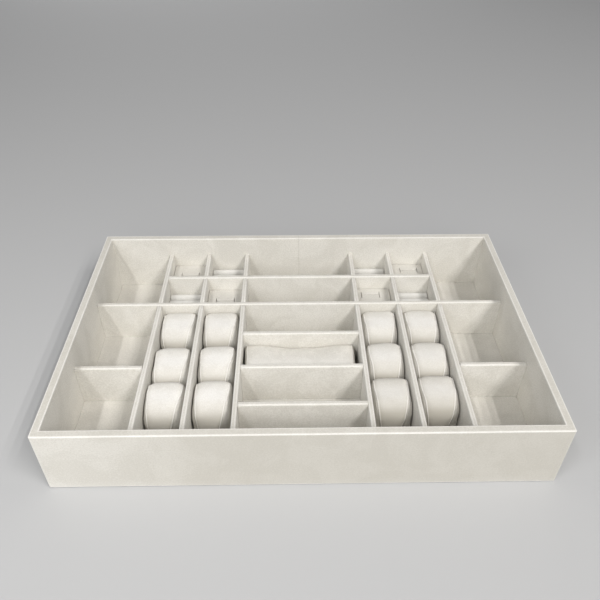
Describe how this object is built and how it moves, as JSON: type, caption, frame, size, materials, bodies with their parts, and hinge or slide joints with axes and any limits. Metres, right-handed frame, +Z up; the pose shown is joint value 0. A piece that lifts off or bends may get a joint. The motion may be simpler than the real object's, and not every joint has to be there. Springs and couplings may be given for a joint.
{
  "type": "watch and jewellery drawer insert tray",
  "caption": "Shallow suede-covered tray with crossed dividers, loose watch pillows, a bracelet pillow, ring-roll pads and slotted pads for a drawer.",
  "frame": {"origin": "middle of the underside, on the surface that the tray rests on", "axes": "+X to the right along the tray's long side, +Y from the front wall to the back wall, +Z up"},
  "size_m": [0.6, 0.389, 0.0955],
  "materials": {
    "suede_wall": "ivory microsuede glued over board, brushed nap",
    "suede_divider": "ivory microsuede glued over board, brushed nap",
    "suede_lining": "ivory microsuede glued over card",
    "pillow_velvet": "soft ivory velvet over stuffing, sewn side seams",
    "pad_velvet": "soft ivory velvet over foam",
    "backing_sheet": "plain ivory backing sheet",
    "base_board": "bare fibreboard, hidden"
  },
  "bodies": {
    "tray": {"underside_cover": "backing_sheet", "base_board": "base_board", "floor_lining": "suede_lining", "front_wall": "suede_wall", "back_wall": "suede_wall", "left_wall": "suede_wall", "right_wall": "suede_wall", "inner_divider_left": "suede_divider", "middle_divider_left": "suede_divider", "outer_divider_left": "suede_divider", "inner_divider_right": "suede_divider", "middle_divider_right": "suede_divider", "outer_divider_right": "suede_divider", "long_partition": "suede_divider", "back_partition": "suede_divider", "centre_partition_rear": "suede_divider", "centre_partition_middle": "suede_divider", "centre_partition_front": "suede_divider", "side_partition_left": "suede_divider", "side_partition_right": "suede_divider"},
    "watch_pillow_outer_left_1_body": {"watch_pillow_outer_left_1": "pillow_velvet"},
    "watch_pillow_outer_left_2_body": {"watch_pillow_outer_left_2": "pillow_velvet"},
    "watch_pillow_outer_left_3_body": {"watch_pillow_outer_left_3": "pillow_velvet"},
    "watch_pillow_inner_left_1_body": {"watch_pillow_inner_left_1": "pillow_velvet"},
    "watch_pillow_inner_left_2_body": {"watch_pillow_inner_left_2": "pillow_velvet"},
    "watch_pillow_inner_left_3_body": {"watch_pillow_inner_left_3": "pillow_velvet"},
    "watch_pillow_outer_right_1_body": {"watch_pillow_outer_right_1": "pillow_velvet"},
    "watch_pillow_outer_right_2_body": {"watch_pillow_outer_right_2": "pillow_velvet"},
    "watch_pillow_outer_right_3_body": {"watch_pillow_outer_right_3": "pillow_velvet"},
    "watch_pillow_inner_right_1_body": {"watch_pillow_inner_right_1": "pillow_velvet"},
    "watch_pillow_inner_right_2_body": {"watch_pillow_inner_right_2": "pillow_velvet"},
    "watch_pillow_inner_right_3_body": {"watch_pillow_inner_right_3": "pillow_velvet"},
    "bracelet_pillow_body": {"bracelet_pillow": "pillow_velvet"},
    "ring_pad_left_back_body": {"ring_pad_left_back": "pad_velvet"},
    "slotted_pad_left_back_body": {"slotted_pad_left_back": "pad_velvet"},
    "ring_pad_left_second_body": {"ring_pad_left_second": "pad_velvet"},
    "slotted_pad_left_second_body": {"slotted_pad_left_second": "pad_velvet"},
    "ring_pad_right_back_body": {"ring_pad_right_back": "pad_velvet"},
    "slotted_pad_right_back_body": {"slotted_pad_right_back": "pad_velvet"},
    "ring_pad_right_second_body": {"ring_pad_right_second": "pad_velvet"},
    "slotted_pad_right_second_body": {"slotted_pad_right_second": "pad_velvet"}
  },
  "joints": [
    {"name": "watch_pillow_outer_left_1_lift", "type": "slide", "parent": "tray", "child": "watch_pillow_outer_left_1_body", "axis": [0, 0, 1], "range_m": [0, 0.1]},
    {"name": "watch_pillow_outer_left_2_lift", "type": "slide", "parent": "tray", "child": "watch_pillow_outer_left_2_body", "axis": [0, 0, 1], "range_m": [0, 0.1]},
    {"name": "watch_pillow_outer_left_3_lift", "type": "slide", "parent": "tray", "child": "watch_pillow_outer_left_3_body", "axis": [0, 0, 1], "range_m": [0, 0.1]},
    {"name": "watch_pillow_inner_left_1_lift", "type": "slide", "parent": "tray", "child": "watch_pillow_inner_left_1_body", "axis": [0, 0, 1], "range_m": [0, 0.1]},
    {"name": "watch_pillow_inner_left_2_lift", "type": "slide", "parent": "tray", "child": "watch_pillow_inner_left_2_body", "axis": [0, 0, 1], "range_m": [0, 0.1]},
    {"name": "watch_pillow_inner_left_3_lift", "type": "slide", "parent": "tray", "child": "watch_pillow_inner_left_3_body", "axis": [0, 0, 1], "range_m": [0, 0.1]},
    {"name": "watch_pillow_outer_right_1_lift", "type": "slide", "parent": "tray", "child": "watch_pillow_outer_right_1_body", "axis": [0, 0, 1], "range_m": [0, 0.1]},
    {"name": "watch_pillow_outer_right_2_lift", "type": "slide", "parent": "tray", "child": "watch_pillow_outer_right_2_body", "axis": [0, 0, 1], "range_m": [0, 0.1]},
    {"name": "watch_pillow_outer_right_3_lift", "type": "slide", "parent": "tray", "child": "watch_pillow_outer_right_3_body", "axis": [0, 0, 1], "range_m": [0, 0.1]},
    {"name": "watch_pillow_inner_right_1_lift", "type": "slide", "parent": "tray", "child": "watch_pillow_inner_right_1_body", "axis": [0, 0, 1], "range_m": [0, 0.1]},
    {"name": "watch_pillow_inner_right_2_lift", "type": "slide", "parent": "tray", "child": "watch_pillow_inner_right_2_body", "axis": [0, 0, 1], "range_m": [0, 0.1]},
    {"name": "watch_pillow_inner_right_3_lift", "type": "slide", "parent": "tray", "child": "watch_pillow_inner_right_3_body", "axis": [0, 0, 1], "range_m": [0, 0.1]},
    {"name": "bracelet_pillow_lift", "type": "slide", "parent": "tray", "child": "bracelet_pillow_body", "axis": [0, 0, 1], "range_m": [0, 0.1]},
    {"name": "ring_pad_left_back_lift", "type": "slide", "parent": "tray", "child": "ring_pad_left_back_body", "axis": [0, 0, 1], "range_m": [0, 0.1]},
    {"name": "slotted_pad_left_back_lift", "type": "slide", "parent": "tray", "child": "slotted_pad_left_back_body", "axis": [0, 0, 1], "range_m": [0, 0.1]},
    {"name": "ring_pad_left_second_lift", "type": "slide", "parent": "tray", "child": "ring_pad_left_second_body", "axis": [0, 0, 1], "range_m": [0, 0.1]},
    {"name": "slotted_pad_left_second_lift", "type": "slide", "parent": "tray", "child": "slotted_pad_left_second_body", "axis": [0, 0, 1], "range_m": [0, 0.1]},
    {"name": "ring_pad_right_back_lift", "type": "slide", "parent": "tray", "child": "ring_pad_right_back_body", "axis": [0, 0, 1], "range_m": [0, 0.1]},
    {"name": "slotted_pad_right_back_lift", "type": "slide", "parent": "tray", "child": "slotted_pad_right_back_body", "axis": [0, 0, 1], "range_m": [0, 0.1]},
    {"name": "ring_pad_right_second_lift", "type": "slide", "parent": "tray", "child": "ring_pad_right_second_body", "axis": [0, 0, 1], "range_m": [0, 0.1]},
    {"name": "slotted_pad_right_second_lift", "type": "slide", "parent": "tray", "child": "slotted_pad_right_second_body", "axis": [0, 0, 1], "range_m": [0, 0.1]}
  ]
}
